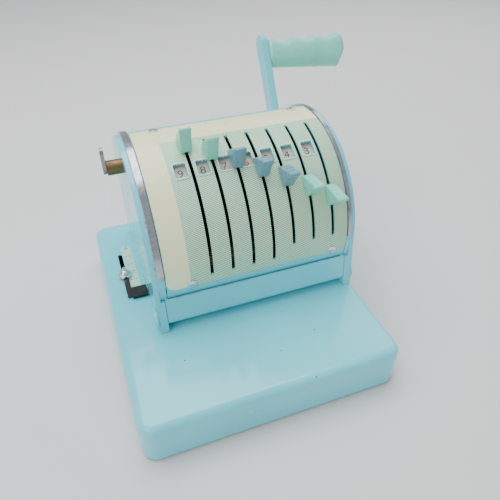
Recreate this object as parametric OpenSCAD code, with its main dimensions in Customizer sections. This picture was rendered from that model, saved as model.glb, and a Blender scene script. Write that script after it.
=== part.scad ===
// Desk check writer: a slotted drum face with seven amount levers, on a pressed base,
// with a side pull handle that lifts the platen against the type wheels.
// +X is to the user's right, +Y to the back, +Z up. The origin is under the middle of the base.

/* [Base] */
// Width of the base, left to right
base_w = 230; // [216:1:260]
// Depth of the base, front to back
base_d = 278; // [262:1:320]
// Height of the base pan's side wall
base_h = 39.6; // [37:0.1:50]
// Corner radius of the base, seen from above
base_corner_r = 13; // [9:0.5:20]
// Radius rolled round the pan's top edge
base_edge_r = 7; // [3:0.5:8]
// Sheet thickness of the pan
base_wall = 1.6; // [1:0.1:2.5]
// Thickness of the bottom plate
floor_t = 1.2; // [0.8:0.1:2]
// How far up inside the pan the bottom plate sits
floor_in = 1; // [0.5:0.1:4]
// How far the rubber feet stand below the pan
foot_stand = 2; // [2:0.1:6]
// Radius of a rubber foot
foot_r = 9; // [6:0.5:12]
// Distance of a foot's centre in from the base's edges
foot_in = 21; // [17:0.5:30]
// Radius of the posts that carry the bottom plate
post_r = 5; // [4:0.5:7]
// Distance of a post's centre in from the base's edges
post_in = 40; // [36:0.5:50]

/* [Body] */
// Width over the two side plates
body_w = 189.6; // [184:0.2:200]
// How far the body's middle lies to the right of the base's middle
body_x = 17.3; // [10:0.1:18]
// Thickness of a side plate
side_t = 4.5; // [3:0.1:6]
// Radius of the side plates' round rim
side_r = 88; // [86:0.2:88.4]
// Distance of the side plates' foot back from the base's front edge
side_set = 91.5; // [86:0.5:95]
// Distance of the drum axis back from the base's front edge
drum_back = 185; // [181:0.5:189]
// Height of the drum axis above the base's top
drum_rise = 53.4; // [52:0.1:58]
// Distance from the drum axis to the flat back
body_tail = 75; // [70:0.5:80]
// Outer radius of the curved hood
hood_r = 88.8; // [88.6:0.1:90]
// Sheet thickness of the hood
hood_t = 1.4; // [0.8:0.1:1.8]
// Angle where the hood ends at the front, measured from the top
hood_front_a = 105.5; // [101:0.5:108]
// Gap between the hood and the side plates' shoulders
shoulder_gap = 0.5; // [0.3:0.1:0.8]
// Width of the ledge inside each shoulder that carries the hood
ledge_w = 3; // [2:0.5:5]
// Depth of that ledge
ledge_t = 3; // [2:0.5:4]

/* [Front panel and rear cover] */
// Sheet thickness of the front panel
panel_t = 1.5; // [1:0.1:2]
// How far the panel lies behind the side plates' front edges
panel_in = 0.3; // [0.1:0.1:2]
// Radius of the panel's rolled lower edge
panel_roll_r = 7; // [5:0.5:9]
// Height of the check throat under the rolled edge
throat_h = 5.2; // [5:0.1:7]
// Seam between the hood's lip and the panel
seam = 0.4; // [0.3:0.05:0.8]
// Radius of the round screw heads at the panel's ends
panel_screw_r = 8.5; // [7:0.5:10]
// Thickness of those domed heads
panel_screw_t = 4; // [3:0.5:5]
// Width of the side plates' ribs that close the panel's ends
end_rib_w = 3.4; // [3:0.1:4]
// Sheet thickness of the rear cover
rear_t = 1.5; // [1:0.1:2]

/* [Keyboard plate] */
// Thickness of the curved keyboard plate
face_t = 1.2; // [0.8:0.1:2]
// Bare hood between the left side plate and the keyboard plate
face_left_in = 7; // [6.5:0.1:9]
// Bare hood between the keyboard plate and the right side plate
face_right_in = 4.6; // [4.4:0.1:7]
// Angle of the keyboard plate's top edge, behind the top
face_top_a = 10; // [8:0.5:20]
// Angle of the keyboard plate's lower edge
face_low_a = 96; // [93:0.5:99]
// Corner radius of the keyboard plate
face_corner_r = 9; // [5:0.5:12]
// Thickness of the chrome trim strips
trim_t = 1.6; // [1:0.1:2]
// Angle where the trim strips end at the front
trim_low_a = 87; // [80:0.5:95]
// Angle where the trim strips end behind the top
trim_back_a = 50; // [30:1:54]
// Radius of the keyboard plate's screw heads
face_screw_r = 4.5; // [3.5:0.1:5]
// Distance of the left screws in from the keyboard plate's left edge
face_screw_in = 21.5; // [10:0.5:24]

/* [Amount levers] */
// Distance of the first slot from the left side plate's outer face
first_slot = 51.5; // [48:0.1:54]
// Distance from one slot to the next
slot_pitch = 19.1; // [18.9:0.1:19.4]
// Width of a slot in the keyboard plate
slot_w = 3; // [2.6:0.1:3.4]
// Angle of the slots' upper ends
slot_top_a = 11.3; // [10.5:0.1:11.6]
// Angle where the long slots end
slot_low_a = 91; // [90.4:0.1:92]
// Angle from one lever position to the next
step_a = 7.4; // [7.3:0.05:7.45]
// Lever angle at the highest digit
lever_top_a = 13.8; // [13.6:0.1:14.2]
// Thickness of a lever's stem
stem_t = 1.9; // [1.5:0.1:2.1]
// Width of a lever's stem, along its travel
stem_w = 5.6; // [4:0.1:5.8]
// Width of a lever knob
knob_w = 10; // [7:0.1:11]
// How far a knob's base reaches behind its lever
knob_back = 7.5; // [6.5:0.5:9]
// How far a knob's base reaches in front of its lever
knob_front = 11; // [8:0.5:12]
// Height of a lever knob
knob_h = 22; // [16:0.5:26]
// Length of a lever knob's tip
knob_tip = 3; // [2:0.5:4]
// How far the tip stands in front of the lever
knob_reach = 8.5; // [6:0.5:9]
// How far the knob's front is scooped
knob_scoop = 1.8; // [1:0.1:2.5]
// How far the knob's sloping back is scooped
back_scoop = 0.9; // [0.5:0.1:1.2]
// Gap between a knob and the keyboard plate
knob_gap = 1; // [0.6:0.1:2]
// How deep the stem reaches into its knob
stem_in = 5; // [4:0.5:5]

/* [Windows] */
// Width of a numeral window
window_w = 13.4; // [11:0.1:13.6]
// Height of a numeral window
window_h = 16; // [13:0.1:17]
// Distance of a window's centre to the left of its slot
window_left = 9.4; // [9.2:0.1:9.8]
// Angle of the windows' centres
window_a = 30.5; // [28:0.1:34]
// Width of the raised rim round a window
rim_w = 1.4; // [0.8:0.1:1.6]
// Clearance of the keyboard plate's cut-outs round the windows in the hood
window_clear = 0.2; // [0.15:0.05:0.3]
// Height of the raised rim
rim_h = 0.6; // [0.3:0.1:1]

/* [Selectors and type wheels] */
// Radius of the key shaft
key_shaft_r = 5; // [4:0.1:6]
// Radius of a selector's hub
hub_r = 9; // [8:0.1:11]
// Running clearance of bores on shafts
run_fit = 0.05; // [0.02:0.01:0.09]
// Gap between the numeral bands and the hood
band_gap = 1.2; // [0.8:0.1:2]
// Thickness of a numeral band
band_t = 1.5; // [1:0.1:2]
// Thickness of a selector's web
web_t = 2.05; // [1.6:0.05:2.4]
// Teeth of a whole selector gear
gear_teeth = 64; // [64:1:64]
// Teeth of a type pinion
pinion_teeth = 16; // [16:1:16]
// Gear module
gear_m = 1.25; // [1.2:0.05:1.3]
// Tooth thinning, for backlash
gear_slack = 0.12; // [0.05:0.01:0.2]
// Angle of the type shaft round the drum axis, measured from the top
type_a = 128.6; // [128:0.1:130]
// Radius of the type shaft
type_shaft_r = 3; // [2.5:0.1:4]
// Radius of a type wheel's body
type_r = 14; // [13:0.1:14.2]
// Height of the raised type
type_h = 1.5; // [1:0.1:1.6]
// Width of a type wheel
type_w = 8; // [6:0.1:9]
// Radius of the inking felt
ink_r = 9; // [7:0.1:9.4]
// Radius of the detent discs
detent_r = 22; // [18:0.5:26]
// Radius of the detent plungers
plunger_r = 1; // [0.8:0.1:1.1]
// Radius of the rail that carries the plungers
rail_r = 6; // [4.5:0.5:7]
// Radius of the tie rods
tie_r = 4; // [3:0.5:5]

/* [Handle and press] */
// Distance of the handle shaft behind the drum axis
handle_back = 40; // [38:0.5:44]
// Height of the handle shaft above the base's top
handle_rise = 20.4; // [19.6:0.1:22]
// Radius of the handle shaft
handle_shaft_r = 6; // [5:0.1:7]
// Gap between the right side plate and the handle arm
arm_gap = 1.9; // [1.7:0.1:4]
// Thickness of the handle arm
arm_t = 7.5; // [5:0.1:9]
// Width of the handle arm
arm_w = 20; // [16:0.5:24]
// Radius of the arm's eye round the shaft
arm_eye_r = 14; // [12:0.5:16]
// Length of the arm's lower part, from the shaft to the bend
arm_low = 74.5; // [70:0.5:80]
// Slope of the arm's lower part above level
arm_low_a = 30.7; // [25:0.1:36]
// Length of the arm's upper part, from the bend to its end
arm_high = 116; // [100:0.5:130]
// Slope of the arm's upper part above level
arm_high_a = 60.5; // [56:0.1:66]
// Length of the hand grip
grip_l = 97; // [85:0.5:110]
// Height of the grip at its inner end
grip_h = 31; // [26:0.5:34]
// How much deeper the grip is at its outer end
grip_drop = 9; // [0:0.5:12]
// How far the grip's middle sits below the arm's rounded end
grip_down = 11.5; // [8:0.5:14]
// Thickness of the grip
grip_t = 22; // [18:0.5:28]
// Depth of the finger valleys
grip_valley = 4; // [1:0.1:5]
// Distance from one finger ridge to the next
grip_pitch = 28.5; // [24:0.5:30]
// Distance of the first ridge from the arm
grip_first = 6.5; // [3:0.5:10]
// Handle travel
handle_travel = 65; // [64:1:66]
// Platen lift
platen_lift = 6; // [5:0.1:6.2]
// Width of the platen bar, front to back
platen_w = 8; // [6:0.1:10]
// Radius of the rocker's roller
roller_r = 6; // [5:0.1:7]

/* [Gauge and lock] */
// Distance of the gauge slot from the left side plate
gauge_left = 17.2; // [16:0.1:18]
// Distance of the gauge's thumb nut behind the base's front edge
gauge_set = 180; // [176:0.5:182]
// Width of the gauge slot
gauge_slot_w = 4.2; // [4:0.1:5]
// Travel of the gauge towards the front
gauge_fore = 24; // [20:0.5:25]
// Travel of the gauge towards the back
gauge_aft = 34; // [30:0.5:35]
// Thickness of the gauge's scale plate
scale_t = 0.8; // [0.4:0.1:1]
// Length of the scale plate
scale_l = 70; // [66:0.5:74]
// Width of the scale plate
scale_w = 10; // [8:0.1:10.5]
// Thickness of the black slide
slide_t = 1.5; // [1:0.1:2.5]
// Length of the slide's pointer block
pointer_l = 13; // [10:0.5:18]
// Radius of the gauge's thumb nut
nut_r = 6; // [5:0.1:6.4]
// Height of the lock's axis above the drum axis
lock_rise = 72.5; // [66:0.5:73]
// Distance of the lock's axis in front of the drum axis
lock_fore = 10; // [4:0.5:14]
// Radius of the lock barrel
lock_r = 6.4; // [5:0.05:7]
// How far the barrel stands out of the side plate
lock_out = 13.5; // [8:0.5:18]
// Thickness of the lock's flat tab
tab_t = 3; // [2:0.1:4]

/* [Hidden] */

$fn = 64;
columns = 7;
dollar_columns = 4;
seat = 0.3;
lap = 0.3;
tooth_in = 0.05;
shaft_seat = 1;
boss_l = 5;
boss_wall = 4;
pressure_a = 20;
over = 20;
enamel = [0.64, 0.86, 0.91];
mint = [0.58, 0.85, 0.78];
slate = [0.52, 0.68, 0.76];
cream = [0.93, 0.93, 0.80];
bright = [0.80, 0.81, 0.83];
steel = [0.62, 0.63, 0.64];
black = [0.08, 0.08, 0.09];
brass = [0.55, 0.45, 0.28];

// Places worked out from the sizes above
base_front = -base_d / 2;
base_top = foot_stand + base_h;
pan_under = base_top - base_wall;
floor_z = foot_stand + floor_in;
body_left = body_x - body_w / 2;
body_right = body_x + body_w / 2;
in_left = body_left + side_t;
in_right = body_right - side_t;
side_front = base_front + side_set;
drum_y = base_front + drum_back;
drum_z = base_top + drum_rise;
back_y = drum_y + body_tail;
hood_in_r = hood_r - hood_t;
hood_back_a = -asin(body_tail / hood_r);
face_r = hood_r + face_t;
face_left = in_left + face_left_in;
face_right = in_right - face_right_in;
slot_low_short_a = slot_low_a - step_a;
lever_low_a = lever_top_a + 10 * step_a;
band_r = hood_in_r - band_gap;
web_back_a = -62;
web_front_a = 21;
gear_r = gear_m * gear_teeth / 2;
pinion_r = gear_m * pinion_teeth / 2;
type_y = drum_y - (gear_r + pinion_r) * sin(type_a);
type_z = drum_z + (gear_r + pinion_r) * cos(type_a);
type_first_a = 180;
ink_y = type_y - 24.5;
ink_z = type_z - 3.8;
rail_a = -75;
rail_at = 52;
rail_y = drum_y - rail_at * sin(rail_a);
rail_z = drum_z + rail_at * cos(rail_a);
tie_up = [back_y - 16, drum_z + 22];
tie_low = [back_y - 11, base_top + 30];
hub_left = 15.5;
hub_right = slot_pitch - hub_left - 0.4;
handle_y = drum_y + handle_back;
handle_z = base_top + handle_rise;
cam_x = slot_x(2) + 6.8;
cam_w = 6;
rocker_y = (type_y + handle_y) / 2;
rocker_arm = (handle_y - type_y) / 2;
rocker_z = foot_stand + 24;
rocker_swing = asin(platen_lift / rocker_arm);
rocker_w = 10;
rocker_pin_r = 4;
rocker_tip_r = 5;
cam_gap = 0.75;
arm_x = body_right + arm_gap;
bend_y = handle_y + arm_low * cos(arm_low_a);
bend_z = handle_z + arm_low * sin(arm_low_a);
end_y = bend_y + arm_high * cos(arm_high_a);
end_z = bend_z + arm_high * sin(arm_high_a);
platen_x0 = slot_x(0) - 16;
platen_x1 = slot_x(columns - 1) + 7;
platen_h = platen_lift + 3;
platen_slot = 0.4;
post_x = [platen_x0 + 12, platen_x1 - 12];
platen_post_r = 3;
guide_z = foot_stand + 16;
guide_t = 4;
gauge_x = body_left - gauge_left;
gauge_y = base_front + gauge_set;
stop_x = in_left + 13;
stud_r = gauge_slot_w / 2 - 0.2;
lock_y = drum_y - lock_fore;
lock_z = drum_z + lock_rise;
hood_end_z = drum_z + hood_r * cos(hood_front_a);
panel_top = hood_end_z - seam;
panel_low = base_top + throat_h;
roll_z = panel_low + panel_roll_r;
roll_y = panel_y(roll_z) + panel_roll_r;
flange_w = 9;
flange_t = 4;
ear_w = 8;
flange_front = type_y - 23.4;
flange_y = [flange_front + 9, back_y - 35];

left_shoulder = face_left_in - shoulder_gap - 0.4;
right_shoulder = face_right_in - shoulder_gap - 0.4;
end_rib_l = 14;

function slot_x(i) = body_left + first_slot + slot_pitch * i;
function lever_a(i) = lever_top_a + step_a * i;
function slot_end_a(i) = i < dollar_columns ? slot_low_a : slot_low_short_a;
function side_y(z) = side_front
    + (z - base_top) / drum_rise * (drum_y - side_r - side_front);
function panel_y(z) = side_y(z) + panel_in;
function deg(x) = x * 180 / PI;
function inv(a) = deg(tan(a)) - a;
function wrap(a) = a + 90;

// A flat outline in (Y, Z), drawn along X from x0 to x1
module along_x(x0, x1) {
    translate([x0, 0, 0])
        rotate([90, 0, 90])
            linear_extrude(x1 - x0)
                children();
}

// A rod along X
module rod(x0, x1, y, z, r) {
    translate([x0, y, z])
        rotate([0, 90, 0])
            cylinder(r = r, h = x1 - x0);
}

// A place round the X axis: angle a from the top towards the front, radius r
module spoke(a, r) {
    rotate([a, 0, 0])
        translate([0, 0, r])
            children();
}

// A curved sheet round the X axis
module sheet(x0, x1, r_in, r_out, a0, a1) {
    rotate([0, 90, 0])
        rotate([0, 0, a0 + 180])
            rotate_extrude(angle = a1 - a0, $fn = 180)
                translate([r_in, x0])
                    square([r_out - r_in, x1 - x0]);
}

// The same place and the same sheet, round the drum axis
module on_drum(a, r) {
    translate([0, drum_y, drum_z])
        spoke(a, r)
            children();
}

module drum_sheet(x0, x1, r_in, r_out, a0, a1) {
    translate([0, drum_y, drum_z])
        sheet(x0, x1, r_in, r_out, a0, a1);
}

// A straight bar outline with round ends
module bar(p, q, w) {
    d = q - p;
    translate(p)
        rotate(atan2(d[1], d[0]))
            translate([0, -w / 2])
                square([norm(d), w]);
    translate(p)
        circle(d = w + 0.1);
    translate(q)
        circle(d = w + 0.1);
}

// A rectangle with round corners, centred
module round_rect(w, h, r) {
    square([w - 2 * r, h], center = true);
    square([w, h - 2 * r], center = true);
    for (sx = [-1, 1])
        for (sy = [-1, 1])
            translate([sx * (w / 2 - r), sy * (h / 2 - r)])
                circle(r);
}

// ---- base ----

// Half section of a pan wall, with its top edge rolled
module pan_section(w, h, r) {
    square([w - r, h]);
    square([w, h - r]);
    intersection() {
        translate([w - r, h - r])
            circle(r);
        translate([w - r, h - r])
            square(r);
    }
}

// A block with round corners and a rolled top edge
module pan_block(w, d, h, c, r) {
    x = w / 2 - c;
    y = d / 2 - c;
    translate([-x, -y, 0])
        cube([2 * x, 2 * y, h]);
    for (turn = [0, 180])
        rotate(turn) {
            translate([x, y, 0])
                rotate([90, 0, 0])
                    linear_extrude(2 * y)
                        pan_section(c, h, r);
            translate([-x, y, 0])
                rotate([90, 0, 90])
                    linear_extrude(2 * x)
                        pan_section(c, h, r);
            translate([x, y, 0])
                rotate_extrude(angle = 90)
                    pan_section(c, h, r);
            translate([-x, y, 0])
                rotate(90)
                    rotate_extrude(angle = 90)
                        pan_section(c, h, r);
        }
}

// A slot through the pan's top, with round ends
module pan_slot(x, y0, y1, w) {
    translate([0, 0, pan_under - 1])
        linear_extrude(base_wall + 2)
            bar([x, y0], [x, y1], w);
}

module at_corners(inset) {
    for (sx = [-1, 1])
        for (sy = [-1, 1])
            translate([sx * (base_w / 2 - inset), sy * (base_d / 2 - inset), 0])
                children();
}

module base_pan() {
    color(enamel)
        difference() {
            union() {
                difference() {
                    translate([0, 0, foot_stand])
                        pan_block(base_w, base_d, base_h, base_corner_r, base_edge_r);
                    translate([0, 0, foot_stand - 1])
                        pan_block(base_w - 2 * base_wall, base_d - 2 * base_wall,
                            base_h - base_wall + 1, base_corner_r - base_wall,
                            base_edge_r - base_wall);
                }
                at_corners(post_in)
                    translate([0, 0, floor_z + floor_t])
                        cylinder(r = post_r, h = pan_under - floor_z - floor_t + 0.2);
            }
            at_corners(post_in)
                translate([0, 0, floor_z])
                    cylinder(r = 1.6, h = 12);
            pan_slot(gauge_x, gauge_y - gauge_fore - stud_r, gauge_y + gauge_aft + stud_r,
                gauge_slot_w);
            pan_slot(stop_x, gauge_y - gauge_fore - stud_r, gauge_y + gauge_aft + stud_r,
                gauge_slot_w);
            translate([platen_x0 - platen_slot, type_y - platen_w / 2 - platen_slot,
                pan_under - 1])
                cube([platen_x1 - platen_x0 + 2 * platen_slot,
                    platen_w + 2 * platen_slot, base_wall + 2]);
            translate([cam_x - cam_w / 2 - 2, handle_y - 29, pan_under - 1])
                cube([cam_w + 4, 58, base_wall + 2]);
            flange_bolts()
                cylinder(r = 2.6, h = 30, center = true);
        }
}

// Places of the bolts that hold the side plates' flanges to the pan
module flange_bolts() {
    for (x = [in_left + flange_w / 2, in_right - flange_w / 2])
        for (y = flange_y)
            translate([x, y, base_top])
                children();
}

module bottom_plate() {
    color(steel)
        difference() {
            translate([0, 0, floor_z])
                linear_extrude(floor_t)
                    round_rect(base_w - 2 * base_wall - 2 * seat,
                        base_d - 2 * base_wall - 2 * seat, base_corner_r - base_wall - seat);
            at_corners(post_in)
                translate([0, 0, floor_z - 1])
                    cylinder(r = 1.6, h = floor_t + 2);
        }
}

module base_screws() {
    head_r = 3.5;
    head_h = 1.4;
    color(steel) {
        at_corners(post_in)
            translate([0, 0, floor_z - head_h])
                difference() {
                    union() {
                        cylinder(r = head_r, h = head_h);
                        cylinder(r = 1.5, h = head_h + 10);
                    }
                    translate([0, 0, 0.3])
                        cube([2 * head_r + 1, 0.9, 0.8], center = true);
                }
        flange_bolts()
            translate([0, 0, -base_wall]) {
                translate([0, 0, -3])
                    cylinder(r = 4, h = 3, $fn = 6);
                cylinder(r = 2.5, h = base_wall + flange_t - 0.5);
            }
    }
}

module rubber_feet() {
    color(black)
        at_corners(foot_in)
            cylinder(r1 = foot_r - 1, r2 = foot_r, h = floor_z);
}

// ---- side plates ----

module side_outline() {
    intersection() {
        union() {
            translate([drum_y, drum_z])
                circle(side_r, $fn = 180);
            polygon([[side_front, base_top], [back_y, base_top], [back_y, drum_z],
                [drum_y - side_r, drum_z]]);
        }
        translate([side_front - over, base_top])
            square([back_y - side_front + over, 2 * side_r + drum_rise]);
    }
}

// Shafts held in blind bosses: place and radius
function seats() = [
    [drum_y, drum_z, key_shaft_r],
    [type_y, type_z, type_shaft_r],
    [ink_y, ink_z, type_shaft_r],
    [rail_y, rail_z, rail_r],
    [tie_up[0], tie_up[1], tie_r],
    [tie_low[0], tie_low[1], tie_r]];

// The parts that both side plates share; inside is the plate's inner face, s points inwards
module side_body(inside, s) {
    x0 = min(inside, inside - s * side_t);
    shoulder = s > 0 ? left_shoulder : right_shoulder;
    ledge_x = min(inside, inside + s * (shoulder + ledge_w));
    shoulder_x = min(inside, inside + s * shoulder);
    rib_x = min(inside, inside + s * end_rib_w);
    along_x(x0, x0 + side_t)
        side_outline();
    drum_sheet(ledge_x, ledge_x + shoulder + ledge_w, hood_in_r - ledge_t, hood_in_r,
        hood_back_a + 6, hood_front_a - 12);
    drum_sheet(shoulder_x, shoulder_x + shoulder, hood_in_r - 1, hood_r, hood_back_a + 6,
        hood_front_a);
    along_x(rib_x, rib_x + end_rib_w)
        difference() {
            intersection() {
                side_outline();
                translate([side_front, base_top])
                    square([end_rib_l, hood_end_z + 4 - base_top]);
            }
            translate([side_front - 1, base_top - 1])
                square([end_rib_l + 2, 1.5]);
        }
    for (b = concat(seats(), [[handle_y, handle_z, handle_shaft_r]])) {
        boss0 = min(inside, inside + s * boss_l);
        rod(boss0, boss0 + boss_l, b[0], b[1], b[2] + boss_wall);
    }
    ear0 = min(inside, inside + s * ear_w);
    translate([ear0, back_y - rear_t - 7, base_top + 40])
        cube([ear_w, 7, 14]);
    flange0 = min(inside, inside + s * flange_w);
    translate([flange0, flange_front, base_top])
        cube([flange_w, back_y - 4 - flange_front, flange_t]);
}

// Bores for the shafts' ends, as deep as the shafts are seated
module side_bores(inside, s) {
    for (b = seats()) {
        near = inside + s * (boss_l + 1);
        far = inside - s * (shaft_seat + 0.1);
        rod(min(near, far), max(near, far), b[0], b[1], b[2] + run_fit);
    }
    flange_bolts()
        cylinder(r = 2.55, h = 2 * flange_t - 1, center = true);
    rod(inside - side_t - 1, inside + side_t + 1, roll_y, roll_z, 4.1);
    rear_screws()
        rod_y(0, 0, -rear_t - 6, 0, 1.6);
}

module left_side_plate() {
    color(enamel)
        difference() {
            side_body(in_left, 1);
            side_bores(in_left, 1);
            rod(in_left - shaft_seat - 0.1, in_left + boss_l + 1, handle_y, handle_z,
                handle_shaft_r + run_fit);
            rod(body_left - 1, in_left + 1, lock_y, lock_z, lock_r + 0.1);
        }
}

module right_side_plate() {
    color(enamel)
        difference() {
            side_body(in_right, -1);
            side_bores(in_right, -1);
            rod(in_right - boss_l - 1, body_right + 1, handle_y, handle_z,
                handle_shaft_r + 2 + run_fit);
            rod(in_right + 1, body_right + 1, stop_pin()[0], stop_pin()[1], 3);
        }
}

// ---- hood, keyboard plate and trim ----

// Every lever slot, cut through the drum's sheets
module slots(w) {
    for (i = [0 : columns - 1])
        drum_sheet(slot_x(i) - w / 2, slot_x(i) + w / 2, hood_in_r - 2, face_r + 2,
            slot_top_a, slot_end_a(i));
}

// Every numeral window, cut through the drum's sheets
module windows(grow) {
    half_w = window_w / 2 - rim_w + grow;
    half_a = deg((window_h / 2 - rim_w + grow) / face_r);
    for (i = [0 : columns - 1])
        drum_sheet(slot_x(i) - window_left - half_w, slot_x(i) - window_left + half_w,
            hood_in_r - 3, face_r + 3, window_a - half_a, window_a + half_a);
}

module face_screw_places() {
    for (x = [face_left + face_screw_in, slot_x(columns - 1)])
        for (a = [-face_top_a + 2, face_low_a - 1.5])
            translate([x, 0, 0])
                on_drum(a, face_r)
                    children();
}

module hood() {
    color(enamel)
        difference() {
            drum_sheet(in_left + left_shoulder + shoulder_gap,
                in_right - right_shoulder - shoulder_gap, hood_in_r, hood_r, hood_back_a,
                hood_front_a);
            slots(slot_w + 2 * seat);
            windows(0);
            face_screw_places()
                cylinder(r = 1.6, h = 16, center = true);
        }
}

// What is cut from the keyboard plate's lower corners to round them
module face_corners() {
    corner_a = deg(face_corner_r / face_r);
    for (s = [-1, 1]) {
        x = s < 0 ? face_left : face_right;
        x0 = s < 0 ? x - 1 : x - face_corner_r;
        difference() {
            drum_sheet(x0, x0 + face_corner_r + 1, hood_r - 3, face_r + 3,
                face_low_a - corner_a, face_low_a + 2);
            translate([x - s * face_corner_r, 0, 0])
                on_drum(face_low_a - corner_a, hood_r - 8)
                    cylinder(r = face_corner_r + 0.1, h = face_t + 16);
        }
    }
}

module keyboard_plate() {
    color(cream)
        difference() {
            drum_sheet(face_left, face_right, hood_r, face_r, -face_top_a, face_low_a);
            face_corners();
            slots(slot_w);
            windows(window_clear);
            face_screw_places()
                cylinder(r = 1.6, h = 10, center = true);
        }
}

// Rims of the numeral windows, seated on the keyboard plate round its square cut-outs
module window_rims() {
    color(mint)
        for (i = [0 : columns - 1])
            intersection() {
                drum_sheet(slot_x(i) - window_left - window_w,
                    slot_x(i) - window_left + window_w, face_r, face_r + rim_h,
                    window_a - 12, window_a + 12);
                translate([slot_x(i) - window_left, 0, 0])
                    on_drum(window_a, face_r - 5)
                        linear_extrude(12)
                            difference() {
                                round_rect(window_w, window_h, 1.2 + rim_w);
                                round_rect(window_w - 2 * rim_w, window_h - 2 * rim_w, 1.2);
                            }
            }
}

module keyboard_screws() {
    dome = 12;
    head_h = 1.6;
    color(bright)
        face_screw_places()
            difference() {
                union() {
                    intersection() {
                        cylinder(r = face_screw_r, h = head_h);
                        translate([0, 0, head_h - dome])
                            sphere(dome);
                    }
                    translate([0, 0, hood_in_r - face_r])
                        cylinder(r = 1.5, h = face_r - hood_in_r + 0.5);
                }
                translate([0, 0, head_h])
                    cube([2 * face_screw_r, 1, 1.4], center = true);
            }
}

module trim_strip_left() {
    color(bright)
        drum_sheet(in_left + 0.2, in_left + left_shoulder - 0.2, hood_r, hood_r + trim_t,
            -trim_back_a, trim_low_a);
}

module trim_strip_right() {
    color(bright)
        drum_sheet(in_right - right_shoulder + 0.2, in_right - 0.2, hood_r, hood_r + trim_t,
            -trim_back_a, trim_low_a);
}

// ---- front panel and rear cover ----

module panel_section() {
    y1 = panel_y(panel_top);
    y0 = roll_y - panel_roll_r;
    polygon([[y1, panel_top], [y0, roll_z], [y0 + panel_t, roll_z],
        [y1 + panel_t, panel_top]]);
    intersection() {
        difference() {
            translate([roll_y, roll_z])
                circle(panel_roll_r);
            translate([roll_y, roll_z])
                circle(panel_roll_r - panel_t);
        }
        translate([roll_y - panel_roll_r - 1, roll_z - panel_roll_r - 1])
            square(panel_roll_r + 1);
    }
    translate([roll_y, panel_low])
        square([4, panel_t]);
}

// The filled end of the panel, bored for its screw
module panel_end(x0, x1) {
    difference() {
        along_x(x0, x1) {
            translate([roll_y, roll_z])
                circle(panel_roll_r);
            polygon([[roll_y - panel_roll_r, roll_z], [panel_y(panel_top), panel_top],
                [roll_y + panel_roll_r, panel_top], [roll_y + panel_roll_r, roll_z]]);
        }
        rod(x0 - 1, x1 + 1, roll_y, roll_z, 4.05);
    }
}

module front_panel() {
    x0 = in_left + end_rib_w + seat;
    x1 = in_right - end_rib_w - seat;
    color(enamel) {
        along_x(x0, x1)
            panel_section();
        panel_end(x0, x0 + 3);
        panel_end(x1 - 3, x1);
    }
}

// One domed head with its shank through the side plate, pointing along s
module panel_screw(outside, inside, s) {
    rise = panel_screw_t - 1;
    dome_r = (panel_screw_r * panel_screw_r + rise * rise) / 2 / rise;
    translate([outside, roll_y, roll_z])
        rotate([0, 90 * s, 0])
            rotate_extrude()
                intersection() {
                    square([panel_screw_r, panel_screw_t]);
                    translate([0, panel_screw_t - dome_r])
                        circle(dome_r);
                }
    rod(min(outside + s, inside), max(outside + s, inside), roll_y, roll_z, 4);
}

module panel_screws() {
    color(enamel) {
        panel_screw(body_left, in_left + end_rib_w + seat + 3, -1);
        panel_screw(body_right, in_right - end_rib_w - seat - 3, 1);
    }
}

module rear_cover() {
    top_z = drum_z + sqrt(pow(hood_in_r, 2) - pow(body_tail, 2));
    color(enamel)
        difference() {
            union() {
                translate([in_left, back_y - rear_t, base_top])
                    cube([in_right - in_left, rear_t, top_z - base_top]);
                intersection() {
                    drum_sheet(in_left + ledge_w + seat, in_right - ledge_w - seat,
                        hood_in_r - rear_t, hood_in_r, hood_back_a - 5, hood_back_a + 5.5);
                    translate([in_left, back_y - 30, drum_z])
                        cube([in_right - in_left, 30, side_r]);
                }
            }
            rear_screws()
                rod_y(0, 0, -12, 2, 1.6);
        }
}

// A rod along Y
module rod_y(x, z, y0, y1, r) {
    translate([x, y1, z])
        rotate([90, 0, 0])
            cylinder(r = r, h = y1 - y0);
}

// Places of the rear cover's screws, which go into an ear on each side plate
module rear_screws() {
    for (x = [in_left + ear_w / 2, in_right - ear_w / 2])
        translate([x, back_y, base_top + 47])
            children();
}

module rear_cover_screws() {
    color(bright)
        rear_screws()
            difference() {
                union() {
                    rod_y(0, 0, 0, 1.6, 3.4);
                    rod_y(0, 0, -rear_t - 5, 1, 1.5);
                }
                translate([0, 1.6, 0])
                    cube([8, 1.4, 0.9], center = true);
            }
}

// ---- shafts and rails ----

module held_rod(y, z, r) {
    rod(in_left - shaft_seat, in_right + shaft_seat, y, z, r);
}

module tie_rods() {
    color(steel) {
        held_rod(tie_up[0], tie_up[1], tie_r);
        held_rod(tie_low[0], tie_low[1], tie_r);
    }
}

module key_shaft() {
    color(steel)
        held_rod(drum_y, drum_z, key_shaft_r);
}

plunger_in = 3;

module plunger_places() {
    for (i = [0 : columns - 1])
        translate([slot_x(i) + stem_t / 2 + 1.1, 0, 0])
            on_drum(rail_a, 0)
                children();
}

module detent_rail() {
    color(steel)
        difference() {
            held_rod(rail_y, rail_z, rail_r);
            plunger_places()
                translate([0, 0, rail_at - rail_r - 1])
                    cylinder(r = plunger_r + run_fit, h = plunger_in + 1.1);
        }
}

// Spring plungers whose round noses rest in the detent discs' notches
module detent_plungers() {
    nose = detent_r + seat + plunger_r;
    color(bright)
        plunger_places() {
            translate([0, 0, nose])
                sphere(plunger_r);
            translate([0, 0, nose])
                cylinder(r = plunger_r, h = rail_at - rail_r + plunger_in - nose);
        }
}

// ---- selectors ----

// Half the angle of a gear tooth at radius r
function tooth_half(z, r) = 90 / z - deg(gear_slack / (gear_m * z)) + inv(pressure_a)
    - inv(acos(min(1, gear_m * z / 2 * cos(pressure_a) / r)));

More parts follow.
